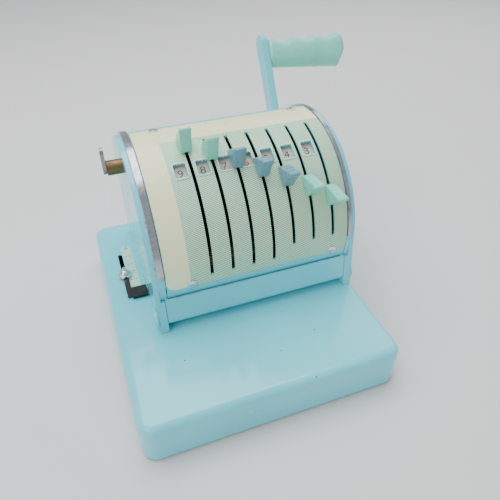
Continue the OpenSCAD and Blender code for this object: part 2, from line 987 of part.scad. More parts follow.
// One gear tooth that points along +X, from inside its root to its tip
module tooth(z) {
    pitch = gear_m * z / 2;
    root = pitch - 1.25 * gear_m;
    tip = pitch + 0.95 * gear_m;
    low = max(root, pitch * cos(pressure_a) + 0.01);
    radii = [root - 0.6, for (k = [0 : 3]) low + (tip - low) * k / 3];
    flank = [for (r = radii) [r, tooth_half(z, max(r, low))]];
    polygon(concat(
        [for (p = flank) p[0] * [cos(p[1]), -sin(p[1])]],
        [for (k = [len(flank) - 1 : -1 : 0])
            flank[k][0] * [cos(flank[k][1]), sin(flank[k][1])]]));
}

// Teeth of the selector's gear, as tooth counts from the one that meshes at the top digit
gear_span = [-1, 15];

// A selector with its stem straight up and its slot's middle at X = 0
module selector_body() {
    root = gear_r - 1.25 * gear_m;
    tooth_a = 360 / gear_teeth;
    mesh_a = type_a - lever_top_a;
    gear_x0 = -stem_t / 2 - web_t;
    gear_x1 = stem_t / 2;
    stem_foot = (key_shaft_r + hub_r) / 2 + 0.5;
    difference() {
        union() {
            rod(-hub_left, hub_right, 0, 0, hub_r);
            sheet(gear_x0, lap - stem_t / 2, key_shaft_r + 1, band_r - lap,
                web_back_a + lap, web_front_a - lap);
            sheet(-hub_left, -stem_t / 2, band_r - band_t, band_r, web_back_a, web_front_a);
            translate([-stem_t / 2, -stem_w / 2, stem_foot])
                cube([stem_t, stem_w, face_r + knob_gap + stem_in - stem_foot]);
            sheet(gear_x0, gear_x1, key_shaft_r + 1.5, root,
                mesh_a - (gear_span[1] + 0.5) * tooth_a,
                mesh_a - (gear_span[0] - 0.5) * tooth_a);
            for (k = [gear_span[0] : gear_span[1]])
                along_x(gear_x0 + tooth_in, gear_x1 - tooth_in)
                    rotate(wrap(mesh_a - k * tooth_a))
                        tooth(gear_teeth);
            detent_disc(0, hub_right - lap);
        }
        rod(-hub_left - 1, hub_right + 1, 0, 0, key_shaft_r + run_fit);
    }
}

// A disc with one notch for each lever position
module detent_disc(x0, x1) {
    difference() {
        rod(x0, x1, 0, 0, detent_r);
        for (k = [0 : 10])
            spoke(rail_a - lever_top_a - k * step_a, detent_r)
                translate([(x0 + x1) / 2, 0, 0.4])
                    rotate([0, 90, 0])
                        cylinder(r = plunger_r + 0.2, h = x1 - x0 + 2, center = true);
    }
}

module selector(i) {
    color(bright)
        translate([slot_x(i), drum_y, drum_z])
            rotate([lever_a(i), 0, 0])
                selector_body();
}

// A circle that scoops the straight face from p to q by depth d, on the side of the face's left
module scoop(p, q, d) {
    face = norm(q - p);
    r = face * face / 8 / d + d / 2;
    n = [p[1] - q[1], q[0] - p[0]] / face;
    translate((p + q) / 2 + (r - d) * n)
        circle(r, $fn = 180);
}

// Side view of a lever knob, front to the left: an upright scooped front, a long sloping back
module knob_outline() {
    front_low = [-knob_front, 0];
    front_tip = [-knob_reach, knob_h];
    back_tip = [knob_tip - knob_reach, knob_h];
    back_low = [knob_back, 0];
    difference() {
        polygon([front_low, back_low, back_tip, front_tip]);
        scoop(front_low, front_tip, knob_scoop);
        scoop(back_tip, back_low, back_scoop);
    }
}

module lever_knob(i) {
    color(i == 2 || i == 3 || i == 4 ? slate : mint)
        translate([slot_x(i), 0, 0])
            on_drum(lever_a(i), face_r + knob_gap)
                difference() {
                    along_x(-knob_w / 2, knob_w / 2)
                        knob_outline();
                    translate([-stem_t / 2 - 0.05, -stem_w / 2 - 0.05, -1])
                        cube([stem_t + 0.1, stem_w + 0.1, stem_in + 1.05]);
                }
}

// ---- type wheels and inking ----

module type_shaft() {
    color(steel)
        held_rod(type_y, type_z, type_shaft_r);
}

module type_wheel(i) {
    x = slot_x(i);
    wheel_x1 = x - stem_t / 2 - web_t - 1;
    turn = -gear_teeth / pinion_teeth * (lever_a(i) - lever_top_a);
    gap_a = type_a - 180 + 180 / pinion_teeth;
    type_step = step_a * gear_teeth / pinion_teeth;
    color(steel)
        difference() {
            union() {
                rod(wheel_x1 - type_w, wheel_x1, type_y, type_z, type_r);
                rod(x - hub_left, x + hub_right, type_y, type_z, type_shaft_r + 2);
                rod(x - stem_t / 2 - web_t, x + stem_t / 2, type_y, type_z,
                    pinion_r - 1.25 * gear_m);
                for (k = [0 : pinion_teeth - 1])
                    along_x(x - stem_t / 2 - web_t, x + stem_t / 2)
                        translate([type_y, type_z])
                            rotate(wrap(gap_a + turn + k * 360 / pinion_teeth))
                                tooth(pinion_teeth);
                for (k = [0 : 10])
                    translate([wheel_x1 - type_w / 2, type_y, type_z])
                        rotate([type_first_a + k * type_step + turn, 0, 0])
                            translate([0, 0, type_r + type_h / 2 - 0.2])
                                cube([type_w - 1, 4.6, type_h], center = true);
            }
            rod(x - hub_left - 1, x + hub_right + 1, type_y, type_z,
                type_shaft_r + run_fit);
        }
}

module ink_roller() {
    color([0.25, 0.12, 0.18]) {
        held_rod(ink_y, ink_z, type_shaft_r);
        rod(platen_x0, platen_x1, ink_y, ink_z, ink_r);
    }
}

// ---- handle ----

module handle_shaft() {
    color(steel)
        rod(in_left - shaft_seat, arm_x + arm_t + 6, handle_y, handle_z, handle_shaft_r);
}

module shaft_bush() {
    color(brass)
        difference() {
            union() {
                rod(in_right - boss_l, body_right + 0.5, handle_y, handle_z,
                    handle_shaft_r + 2);
                rod(body_right, arm_x - seat, handle_y, handle_z, handle_shaft_r + 4);
            }
            rod(in_right - boss_l - 1, arm_x + 1, handle_y, handle_z,
                handle_shaft_r + run_fit);
        }
}

module handle_arm() {
    color(enamel)
        difference() {
            along_x(arm_x, arm_x + arm_t) {
                bar([handle_y, handle_z], [bend_y, bend_z], arm_w);
                bar([bend_y, bend_z], [end_y, end_z], arm_w);
                translate([handle_y, handle_z])
                    circle(arm_eye_r);
            }
            rod(arm_x - 1, arm_x + arm_t + 1, handle_y, handle_z, handle_shaft_r + run_fit);
        }
}

module arm_nut() {
    color(bright)
        difference() {
            translate([arm_x + arm_t, handle_y, handle_z])
                rotate([0, 90, 0])
                    cylinder(r = handle_shaft_r + 4, h = 5, $fn = 6);
            rod(arm_x, arm_x + arm_t + 6, handle_y, handle_z, handle_shaft_r + run_fit);
        }
}

// Where the stop pin touches the back of the resting arm
function stop_pin() = [handle_y, handle_z]
    + 24 * [cos(arm_low_a), sin(arm_low_a)]
    + (arm_w / 2 + 4 + seat) * [sin(arm_low_a), -cos(arm_low_a)];

module arm_stop_pin() {
    color(steel) {
        rod(body_right, arm_x + arm_t, stop_pin()[0], stop_pin()[1], 4);
        rod(in_right + 1.2, body_right + 1, stop_pin()[0], stop_pin()[1], 2.95);
    }
}

grip_rings = 25;
grip_sides = 20;

// Height of the grip's top edge at x: four crests with three finger valleys between them
function grip_top(x) = grip_h / 2
    - grip_valley * (1 - cos(360 * (x - grip_first) / grip_pitch)) / 2;
function grip_low(x) = -grip_h / 2 - grip_drop * x / grip_l;

// One ring of the grip's skin; the end rings draw in to round the edge over
function grip_ring(x, draw) = [for (k = [0 : grip_sides - 1])
    let (
        t = 360 * k / grip_sides,
        mid = (grip_top(x) + grip_low(x)) / 2,
        half = (grip_top(x) - grip_low(x)) / 2 - draw,
        c = cos(t),
        s = sin(t),
        slant = max(0, x - grip_l + 10) * max(0, -s))
    [x - slant, -sign(c) * pow(abs(c), 0.8) * (grip_t / 2 - draw),
        mid + sign(s) * pow(abs(s), 0.8) * half]];

module handle_grip() {
    xs = [for (k = [0 : grip_rings - 1]) grip_l * k / (grip_rings - 1)];
    last = grip_rings - 1;
    points = [for (k = [0 : last])
        each grip_ring(xs[k], k == 0 || k == last ? 2 : 0)];
    walls = [for (k = [0 : last - 1], j = [0 : grip_sides - 1])
        let (
            p = k * grip_sides + j,
            q = k * grip_sides + (j + 1) % grip_sides)
        each [[p, q, q + grip_sides], [p, q + grip_sides, p + grip_sides]]];
    first_cap = [for (j = [grip_sides - 1 : -1 : 0]) j];
    last_cap = [for (j = [0 : grip_sides - 1]) last * grip_sides + j];
    color(mint)
        translate([arm_x + arm_t, end_y - grip_down * cos(arm_high_a),
            end_z - grip_down * sin(arm_high_a)])
            rotate([arm_high_a - 90, 0, 0])
                polyhedron(points = points, faces = concat(walls, [first_cap, last_cap]));
}

// ---- press: cam, rocker and platen ----

// Distance from the handle shaft to the rocker's roller at handle angle p
function roller_far(p) =
    let (b = rocker_swing / 2 - rocker_swing * p / handle_travel)
    norm([handle_y - rocker_y - rocker_arm * cos(b),
        handle_z - rocker_z - rocker_arm * sin(b)]);

// Radius of the cam where it faces the roller at handle angle p
function cam_radius(p) = roller_far(max(0, min(handle_travel, p))) - roller_r - cam_gap;

module press_cam() {
    first = -14;
    last = handle_travel + 24;
    step = 4;
    hub = handle_shaft_r + 5;
    rim = [for (p = [first : step : first + 359])
        (p > last ? hub : cam_radius(p)) * [cos(270 - p), sin(270 - p)]];
    color(steel)
        difference() {
            along_x(cam_x - cam_w / 2, cam_x + cam_w / 2)
                translate([handle_y, handle_z])
                    polygon(rim);
            rod(cam_x - cam_w, cam_x + cam_w, handle_y, handle_z, handle_shaft_r + run_fit);
        }
}

module rocker_bracket() {
    ear_x = rocker_w / 2 + 0.4;
    ear_t = 3;
    color(steel) {
        for (s = [-1, 1])
            along_x(cam_x + s * (ear_x + ear_t / 2) - ear_t / 2,
                cam_x + s * (ear_x + ear_t / 2) + ear_t / 2) {
                translate([rocker_y - 10, rocker_z])
                    square([20, pan_under - rocker_z]);
                translate([rocker_y, rocker_z])
                    circle(10);
            }
        for (s = [-1, 1])
            translate([cam_x + s * (ear_x + ear_t / 2) - (s > 0 ? ear_t / 2 : 10 - ear_t / 2),
                rocker_y - 10, pan_under - ear_t])
                cube([10, 20, ear_t]);
        rod(cam_x - ear_x - ear_t - 1, cam_x + ear_x + ear_t + 1, rocker_y, rocker_z,
            rocker_pin_r);
    }
}

module press_rocker() {
    roller = [rocker_y + rocker_arm * cos(rocker_swing / 2),
        rocker_z + rocker_arm * sin(rocker_swing / 2)];
    tip = [rocker_y - rocker_arm * cos(rocker_swing / 2),
        rocker_z - rocker_arm * sin(rocker_swing / 2)];
    color(steel)
        difference() {
            along_x(cam_x - rocker_w / 2, cam_x + rocker_w / 2) {
                bar(tip, roller, 8);
                translate(roller)
                    circle(roller_r);
                translate(tip)
                    circle(rocker_tip_r);
                translate([rocker_y, rocker_z])
                    circle(rocker_pin_r + 4);
            }
            rod(cam_x - rocker_w, cam_x + rocker_w, rocker_y, rocker_z,
                rocker_pin_r + run_fit);
        }
}

module platen() {
    tip_top = rocker_z - rocker_arm * sin(rocker_swing / 2) + rocker_tip_r;
    color(steel) {
        translate([platen_x0, type_y - platen_w / 2, base_top - platen_h])
            cube([platen_x1 - platen_x0, platen_w, platen_h]);
        translate([cam_x - 4, type_y - platen_w / 2, tip_top + seat])
            cube([8, platen_w, base_top - platen_h - tip_top - seat + 0.2]);
        for (x = post_x)
            translate([x, type_y, guide_z - platen_lift - 2])
                cylinder(r = platen_post_r,
                    h = base_top - platen_h - guide_z + platen_lift + 2.2);
    }
}

module platen_guides() {
    leg_y = platen_w / 2 + platen_slot + 1;
    color(steel)
        difference() {
            for (x = post_x) {
                translate([x - 7, type_y - leg_y - 3, guide_z])
                    cube([14, 2 * leg_y + 6, guide_t]);
                for (s = [-1, 1])
                    translate([x - 7, type_y + s * (leg_y + 1.5) - 1.5, guide_z])
                        cube([14, 3, pan_under - guide_z]);
            }
            for (x = post_x)
                translate([x, type_y, guide_z - 1])
                    cylinder(r = platen_post_r + run_fit, h = guide_t + 2);
        }
}

// ---- check gauge ----

scale_x = body_left - 9.5;
scale_back = gauge_y + 49;

module gauge_scale() {
    color([0.72, 0.86, 0.74]) {
        translate([scale_x - scale_w / 2, scale_back - scale_l, base_top])
            cube([scale_w, scale_l - scale_w / 2, scale_t]);
        translate([scale_x, scale_back - scale_w / 2, base_top])
            cylinder(d = scale_w, h = scale_t);
    }
}

slide_z = base_top + scale_t + seat;

module gauge_slide() {
    leg_w = 5;
    leg_y0 = gauge_y - 36;
    block_x0 = gauge_x + leg_w / 2 - 0.5;
    block_h = 3.6;
    color(black) {
        translate([gauge_x - leg_w / 2, leg_y0 + 3, slide_z])
            cube([leg_w, gauge_y + 5 - leg_y0 - 3, slide_t]);
        translate([block_x0, leg_y0, slide_z])
            cube([body_left - 0.5 - block_x0, pointer_l, block_h]);
        translate([gauge_x, gauge_y, pan_under - seat])
            cylinder(r = stud_r, h = slide_z + slide_t - pan_under + seat);
        translate([body_left - 3.5, leg_y0 + 3, slide_z + block_h - 0.2])
            cylinder(r = 1.6, h = 1.2);
    }
}

// The thumb nut: a flat skirt, a round shoulder and the stud's end standing out of it
module gauge_nut() {
    skirt_h = 2.4;
    color(bright)
        translate([gauge_x, gauge_y, slide_z + slide_t])
            rotate_extrude() {
                square([nut_r, skirt_h]);
                intersection() {
                    translate([0, skirt_h - 1])
                        circle(nut_r - 0.6);
                    translate([0, skirt_h - 0.5])
                        square([nut_r, nut_r]);
                }
                square([1.6, nut_r + skirt_h + 1]);
            }
}

// Under the pan's top, a bar carries the stop finger that the check's back edge meets
module paper_stop() {
    bar_z = pan_under - seat - 3;
    color(steel) {
        translate([gauge_x - 5, gauge_y - 5, bar_z])
            cube([stop_x - gauge_x + 10, 10, 3]);
        translate([stop_x - 1.5, gauge_y - 1.8, bar_z + 2.8])
            cube([3, 3.6, base_top + throat_h - bar_z - 2.8]);
    }
}

// ---- lock ----

module lock_barrel() {
    color(brass)
        difference() {
            union() {
                rod(body_left - lock_out, in_left + 8, lock_y, lock_z, lock_r);
                rod(in_left, in_left + 2.5, lock_y, lock_z, lock_r + 2);
            }
            rod(body_left - lock_out - 1, in_left + 9, lock_y, lock_z, 2.5 + run_fit);
        }
}

// The flat tab, its spindle through the barrel and the catch behind it
module lock_tab() {
    tab_w = 9;
    tab_up = 19;
    tab_down = 5;
    x0 = body_left - lock_out - seat - tab_t;
    color(bright) {
        along_x(x0, x0 + tab_t)
            bar([lock_y, lock_z - tab_down + tab_w / 2],
                [lock_y, lock_z + tab_up - tab_w / 2], tab_w);
        rod(x0 + tab_t / 2, in_left + 10, lock_y, lock_z, 2.5);
        along_x(in_left + 8 + seat, in_left + 10)
            bar([lock_y, lock_z], [lock_y, lock_z - 14], 8);
    }
}

// ---- what is drawn ----

base_pan();
bottom_plate();
base_screws();
rubber_feet();
left_side_plate();
right_side_plate();
hood();
keyboard_plate();
window_rims();
keyboard_screws();
trim_strip_left();
trim_strip_right();
front_panel();
panel_screws();
rear_cover();
rear_cover_screws();
tie_rods();
key_shaft();
detent_rail();
detent_plungers();
selector(0);  // selector_1
selector(1);  // selector_2
selector(2);  // selector_3
selector(3);  // selector_4
selector(4);  // selector_5
selector(5);  // selector_6
selector(6);  // selector_7
lever_knob(0);  // lever_knob_1
lever_knob(1);  // lever_knob_2
lever_knob(2);  // lever_knob_3
lever_knob(3);  // lever_knob_4
lever_knob(4);  // lever_knob_5
lever_knob(5);  // lever_knob_6
lever_knob(6);  // lever_knob_7
type_shaft();
type_wheel(0);  // type_wheel_1
type_wheel(1);  // type_wheel_2
type_wheel(2);  // type_wheel_3
type_wheel(3);  // type_wheel_4
type_wheel(4);  // type_wheel_5
type_wheel(5);  // type_wheel_6
type_wheel(6);  // type_wheel_7
ink_roller();
handle_shaft();
shaft_bush();
handle_arm();
arm_nut();
handle_grip();
arm_stop_pin();
press_cam();
rocker_bracket();
press_rocker();
platen();
platen_guides();
gauge_scale();
gauge_slide();
gauge_nut();
paper_stop();
lock_barrel();
lock_tab();
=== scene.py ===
# %% [markdown]
# # A desk check writer
# The machine stands on a wide enamelled base. A slotted drum face carries seven amount levers,
# numerals show in seven small windows, and a pull handle with a finger grip stands at the right.
# This lesson loads the machine's solid model, gives every part the finish of the real one, and
# adds what a solid model leaves out: printed numerals, rounded knobs, a smooth grip and wear.

# %% Load the solid model
import bpy
import bmesh
import math
from mathutils import Matrix, Vector


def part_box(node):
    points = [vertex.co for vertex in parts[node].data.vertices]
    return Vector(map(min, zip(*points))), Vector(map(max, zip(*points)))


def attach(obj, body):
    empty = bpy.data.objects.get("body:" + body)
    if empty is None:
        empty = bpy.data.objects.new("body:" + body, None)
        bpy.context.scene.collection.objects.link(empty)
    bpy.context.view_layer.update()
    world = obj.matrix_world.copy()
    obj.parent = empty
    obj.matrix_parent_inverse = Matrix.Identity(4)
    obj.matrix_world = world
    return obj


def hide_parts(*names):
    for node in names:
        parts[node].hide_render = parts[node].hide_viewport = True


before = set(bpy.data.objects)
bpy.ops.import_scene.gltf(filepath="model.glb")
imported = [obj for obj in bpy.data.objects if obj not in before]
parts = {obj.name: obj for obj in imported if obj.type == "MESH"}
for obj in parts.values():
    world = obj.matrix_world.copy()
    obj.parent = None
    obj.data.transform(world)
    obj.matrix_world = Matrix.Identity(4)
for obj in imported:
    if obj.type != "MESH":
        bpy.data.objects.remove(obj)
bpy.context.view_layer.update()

# %% [markdown]
# ## Measures taken from the model
# The drum axis, the slots and the lever angles are the datum of everything on the face. The axis is
# read from the key shaft's own box. The radii, slots and lever angles repeat the solid model's
# values. The window angle is where a digit has to stand to be seen through its window.

# %% Measures
COLUMNS = 7
shaft_low, shaft_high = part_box("key_shaft")
DRUM = Vector((0, (shaft_low.y + shaft_high.y) / 2, (shaft_low.z + shaft_high.z) / 2))
FACE_R = 0.0900
BAND_R = 0.0862
SLOT_X = [-0.0260 + 0.0191 * i for i in range(COLUMNS)]
LEVER_DEG = [13.8 + 7.4 * i for i in range(COLUMNS)]
STEP_DEG = 7.4
WINDOW_DEG = 31.2
print("drum axis at", [round(v, 4) for v in DRUM])


def on_drum(x, degrees, radius):
    """A point on the drum: the angle runs from the top towards the front."""
    a = math.radians(degrees)
    return Vector((x, DRUM.y - radius * math.sin(a), DRUM.z + radius * math.cos(a)))


# %% [markdown]
# ## Building finishes
# Every finish is a small tree of nodes. A few short helpers keep those trees readable: one adds a
# node, one joins two sockets, one blends colours by a mask and one turns height into bump.

# %% Helpers for finishes
class Finish:
    """A new material with its main shader ready and short calls to grow its node tree."""

    def __init__(self, name, colour, roughness, metallic=0.0):
        self.material = bpy.data.materials.new(name)
        self.material.use_nodes = True
        self.nodes = self.material.node_tree.nodes
        self.shader = self.nodes["Principled BSDF"]
        self.shader.inputs["Base Color"].default_value = (*colour, 1)
        self.shader.inputs["Roughness"].default_value = roughness
        self.shader.inputs["Metallic"].default_value = metallic
        self.place = self.add("ShaderNodeTexCoord").outputs["Object"]

    def add(self, kind, **values):
        node = self.nodes.new(kind)
        for key, value in values.items():
            if key in node.inputs:
                node.inputs[key].default_value = value
            else:
                setattr(node, key, value)
        return node

    def join(self, source, target):
        self.material.node_tree.links.new(source, target)

    def noise(self, scale, detail=3.0, rough=0.55):
        node = self.add("ShaderNodeTexNoise", Scale=scale, Detail=detail, Roughness=rough)
        self.join(self.place, node.inputs["Vector"])
        return node.outputs["Fac"]

    def sum(self, kind, a, b=0.0, clamp=False):
        node = self.add("ShaderNodeMath", operation=kind, use_clamp=clamp)
        for socket, value in zip(node.inputs, (a, b)):
            if hasattr(value, "links"):
                self.join(value, socket)
            else:
                socket.default_value = value
        return node.outputs[0]

    def ramp(self, value, low, high, to_low=0.0, to_high=1.0):
        node = self.add("ShaderNodeMapRange")
        for key, number in zip(("From Min", "From Max", "To Min", "To Max"),
                               (low, high, to_low, to_high)):
            node.inputs[key].default_value = number
        self.join(value, node.inputs["Value"])
        return node.outputs["Result"]

    def blend(self, mask, a, b):
        node = self.add("ShaderNodeMix", data_type="RGBA", blend_type="MIX")
        self.join(mask, node.inputs[0])
        for socket, value in ((node.inputs[6], a), (node.inputs[7], b)):
            if hasattr(value, "links"):
                self.join(value, socket)
            else:
                socket.default_value = (*value, 1)
        return node.outputs[2]

    def edge(self, radius):
        """A mask that is bright along sharp edges, found by rounding the normal."""
        rounded = self.add("ShaderNodeBevel", samples=6)
        rounded.inputs["Radius"].default_value = radius
        face = self.add("ShaderNodeNewGeometry")
        dot = self.add("ShaderNodeVectorMath", operation="DOT_PRODUCT")
        self.join(rounded.outputs["Normal"], dot.inputs[0])
        self.join(face.outputs["True Normal"], dot.inputs[1])
        return self.sum("SUBTRACT", 1.0, dot.outputs["Value"], clamp=True)

    def bump(self, height, strength=0.1, distance=0.0005, round_edges=0.0):
        node = self.add("ShaderNodeBump", Strength=strength, Distance=distance)
        self.join(height, node.inputs["Height"])
        if round_edges:
            rounded = self.add("ShaderNodeBevel", samples=6)
            rounded.inputs["Radius"].default_value = round_edges
            self.join(rounded.outputs["Normal"], node.inputs["Normal"])
        self.join(node.outputs["Normal"], self.shader.inputs["Normal"])

    def colour(self, socket):
        self.join(socket, self.shader.inputs["Base Color"])

    def roughness(self, socket):
        self.join(socket, self.shader.inputs["Roughness"])


def dress(finish, *names):
    """Gives a finish to parts of the model."""
    for name in names:
        mesh = parts[name].data
        mesh.materials.clear()
        mesh.materials.append(finish.material)


# %% [markdown]
# ## Aqua enamel
# Thick stoved enamel over sheet steel: glossy, faintly rippled like orange peel, with a few dark
# pinholes, faint patches of grime, and bare brown metal where edges have been knocked.

# %% Enamel
def knocks(f, spots):
    """A mask that is bright round a few points, with a ragged outline."""
    ragged = f.sum("MULTIPLY", f.noise(900, 4, 0.7), 0.0022)
    mask = None
    for x, y, z, size in spots:
        gap = f.add("ShaderNodeVectorMath", operation="DISTANCE")
        f.join(f.place, gap.inputs[0])
        gap.inputs[1].default_value = (x, y, z)
        near = f.ramp(f.sum("ADD", gap.outputs["Value"], ragged), size + 0.0009, size + 0.0013,
                      1.0, 0.0)
        mask = near if mask is None else f.sum("MAXIMUM", mask, near)
    return mask


def enamel(name, colour, grime=0.10, chips=0.55, spots=()):
    f = Finish(name, colour, 0.2)
    f.shader.inputs["Coat Weight"].default_value = 0.3
    f.shader.inputs["Coat Roughness"].default_value = 0.06
    shade = f.ramp(f.noise(9, 4), 0.35, 0.7)
    pale = tuple(min(1, c * 1.05 + 0.01) for c in colour)
    dull = tuple(c * 0.92 for c in colour)
    base = f.blend(shade, dull, pale)
    dirt = f.ramp(f.noise(38, 6, 0.7), 0.60, 0.78, 0.0, grime)
    base = f.blend(dirt, base, (0.25, 0.33, 0.30))
    speck_cells = f.add("ShaderNodeTexVoronoi", Scale=62.0)
    f.join(f.place, speck_cells.inputs["Vector"])
    near = f.ramp(speck_cells.outputs["Distance"], 0.035, 0.05, 1.0, 0.0)
    rare = f.add("ShaderNodeSeparateColor")
    f.join(speck_cells.outputs["Color"], rare.inputs[0])
    speck = f.sum("MULTIPLY", near, f.ramp(rare.outputs[0], 0.91, 0.92))
    base = f.blend(speck, base, (0.06, 0.05, 0.045))
    edge = f.ramp(f.edge(0.0011), 0.04, 0.16)
    knocked = f.ramp(f.noise(120, 3, 0.6), chips, chips + 0.05)
    bare = f.sum("MULTIPLY", edge, knocked)
    base = f.blend(bare, base, (0.14, 0.09, 0.06))
    if spots:
        base = f.blend(knocks(f, spots), base, (0.16, 0.08, 0.04))
    f.colour(base)
    f.roughness(f.ramp(f.noise(60, 4), 0.3, 0.8, 0.13, 0.28))
    f.bump(f.noise(420, 2), 0.05, 0.0004, round_edges=0.0009)
    return f


AQUA = (0.15, 0.70, 0.80)
BASE_KNOCKS = ((0.1130, -0.1370, 0.0370, 0.0018), (0.1142, -0.1300, 0.0395, 0.0008),
               (0.0520, -0.0905, 0.0416, 0.0007), (0.0150, -0.1020, 0.0416, 0.0006),
               (-0.0650, -0.0830, 0.0416, 0.0007), (-0.1130, -0.1200, 0.0380, 0.0008))
aqua_enamel = enamel("aqua enamel", AQUA, spots=BASE_KNOCKS)
mint_enamel = enamel("mint enamel", (0.52, 0.88, 0.80), chips=0.7)
dress(aqua_enamel, "base_pan", "left_side_plate", "right_side_plate", "hood", "front_panel",
      "panel_screws", "rear_cover", "handle_arm")
dress(mint_enamel, "window_rims")
print("enamel on the base, body and arm")

# %% [markdown]
# ## The printed keyboard plate
# The face is cream with a field of fine slanted green lines, a common guard print. The lines are
# drawn in the plate's own measure: across X, and along the arc found from the drum angle.

# %% Keyboard print
LINE_PITCH = 0.00160
FIELD_LEFT = -0.0455
FIELD_TOP_DEG = 8.6


def keyboard_print():
    cream = (0.92, 0.96, 0.64)
    f = Finish("keyboard print", cream, 0.32)
    f.shader.inputs["Coat Weight"].default_value = 0.15
    f.shader.inputs["Coat Roughness"].default_value = 0.2
    place = f.add("ShaderNodeSeparateXYZ")
    f.join(f.place, place.inputs[0])
    forward = f.sum("SUBTRACT", DRUM.y, place.outputs["Y"])
    upward = f.sum("SUBTRACT", place.outputs["Z"], DRUM.z)
    angle = f.sum("ARCTAN2", forward, upward)
    arc = f.sum("MULTIPLY", angle, FACE_R)
    x = place.outputs["X"]
    slanted = f.sum("ADD", f.sum("MULTIPLY", x, 0.60), f.sum("MULTIPLY", arc, -0.80))
    wave = f.sum("SINE", f.sum("MULTIPLY", slanted, 2 * math.pi / LINE_PITCH))
    line = f.ramp(wave, -0.6, 0.1)
    left = f.ramp(x, FIELD_LEFT, FIELD_LEFT + 0.0003)
    top = f.ramp(angle, math.radians(FIELD_TOP_DEG), math.radians(FIELD_TOP_DEG + 0.2))
    field = f.sum("MULTIPLY", left, top)
    printed = f.sum("MULTIPLY", line, field)
    aged = f.ramp(f.noise(14, 4), 0.3, 0.75)
    paper = f.blend(aged, (0.86, 0.90, 0.54), cream)
    tint = f.ramp(f.noise(11, 2), 0.4, 0.62)
    ink = f.blend(tint, (0.08, 0.48, 0.36), (0.14, 0.58, 0.46))
    base = f.blend(printed, paper, ink)
    scuff = f.ramp(f.noise(210, 4, 0.7), 0.70, 0.78, 0.0, 0.5)
    base = f.blend(scuff, base, (0.60, 0.62, 0.50))
    f.colour(base)
    f.roughness(f.ramp(f.noise(90, 3), 0.3, 0.8, 0.25, 0.42))
    f.bump(f.noise(500, 2), 0.03, 0.0003, round_edges=0.0004)
    return f


dress(keyboard_print(), "keyboard_plate")
print("guard print on the keyboard plate")

# %% [markdown]
# ## Metals
# Trim, bare steel, type metal, nickel and dull brass share one tree: a metal whose roughness and
# tone wander, with fine streaks along X as rolling and polishing leave them. The blackened
# selectors have a tree of their own, since their bands are pale.

# %% Metals
def metal(name, colour, roughness, streak=0.5, stain=0.2, stain_colour=(0.2, 0.15, 0.1)):
    f = Finish(name, colour, roughness, 1.0)
    stretch = f.add("ShaderNodeMapping")
    stretch.inputs["Scale"].default_value = (30, 420, 420)
    f.join(f.place, stretch.inputs["Vector"])
    grain = f.add("ShaderNodeTexNoise", Scale=1.0, Detail=3.0)
    f.join(stretch.outputs[0], grain.inputs["Vector"])
    tone = f.ramp(grain.outputs["Fac"], 0.3, 0.7)
    base = f.blend(tone, tuple(c * (1 - 0.18 * streak) for c in colour), colour)
    mark = f.ramp(f.noise(70, 5, 0.65), 0.55, 0.75, 0.0, stain)
    f.colour(f.blend(mark, base, stain_colour))
    f.roughness(f.ramp(grain.outputs["Fac"], 0.3, 0.7, roughness * 0.75, roughness * 1.3))
    f.bump(grain.outputs["Fac"], 0.06 * streak, 0.0002, round_edges=0.0004)
    return f


BLACKENED = (0.015, 0.014, 0.013)


def selector_finish():
    """Blackened steel, but for the outside of the band, which is pale and carries the digits."""
    f = Finish("selectors", BLACKENED, 0.5)
    away = f.add("ShaderNodeVectorMath", operation="SUBTRACT")
    f.join(f.place, away.inputs[0])
    away.inputs[1].default_value = DRUM
    flat = f.add("ShaderNodeVectorMath", operation="MULTIPLY")
    f.join(away.outputs[0], flat.inputs[0])
    flat.inputs[1].default_value = (0, 1, 1)
    radius = f.add("ShaderNodeVectorMath", operation="LENGTH")
    f.join(flat.outputs[0], radius.inputs[0])
    on_band = f.ramp(radius.outputs["Value"], BAND_R - 0.00012, BAND_R - 0.00006)
    tone = f.ramp(f.noise(90, 4), 0.35, 0.7)
    band = f.blend(tone, (0.46, 0.42, 0.36), (0.66, 0.63, 0.57))
    f.colour(f.blend(on_band, BLACKENED, band))
    f.roughness(f.ramp(f.noise(140), 0.3, 0.7, 0.38, 0.55))
    return f


polished = metal("polished trim", (0.76, 0.76, 0.79), 0.14, 0.3, 0.3, (0.25, 0.22, 0.2))
pitted_trim = metal("pitted trim", (0.50, 0.50, 0.54), 0.2, 0.6, 0.75, (0.10, 0.09, 0.09))
bare_steel = metal("bare steel", (0.52, 0.52, 0.53), 0.36)
type_metal = metal("type metal", (0.50, 0.45, 0.36), 0.38)
dull_brass = metal("dull brass", (0.22, 0.15, 0.07), 0.42, 0.5, 0.7, (0.05, 0.035, 0.025))
old_nickel = metal("old nickel", (0.34, 0.33, 0.33), 0.3, 0.5, 0.5, (0.10, 0.08, 0.07))
dress(pitted_trim, "trim_strip_left", "trim_strip_right")
dress(polished, "keyboard_screws", "rear_cover_screws", "gauge_nut", "arm_nut")
dress(old_nickel, "lock_tab")
dress(bare_steel, "bottom_plate", "base_screws", "tie_rods", "key_shaft", "detent_rail",
      "detent_plungers", "type_shaft", "handle_shaft", "arm_stop_pin", "press_cam",
      "rocker_bracket", "press_rocker", "platen", "platen_guides", "paper_stop")
dress(selector_finish(), *["selector_%d" % k for k in range(1, 8)])
dress(type_metal, *["type_wheel_%d" % k for k in range(1, 8)])
dress(dull_brass, "lock_barrel", "shaft_bush")
print("metals on trim, works, type and lock")

# %% [markdown]
# ## Small dark and printed parts
# Black enamel on the gauge slide, rubber feet, the inked felt and the green scale.

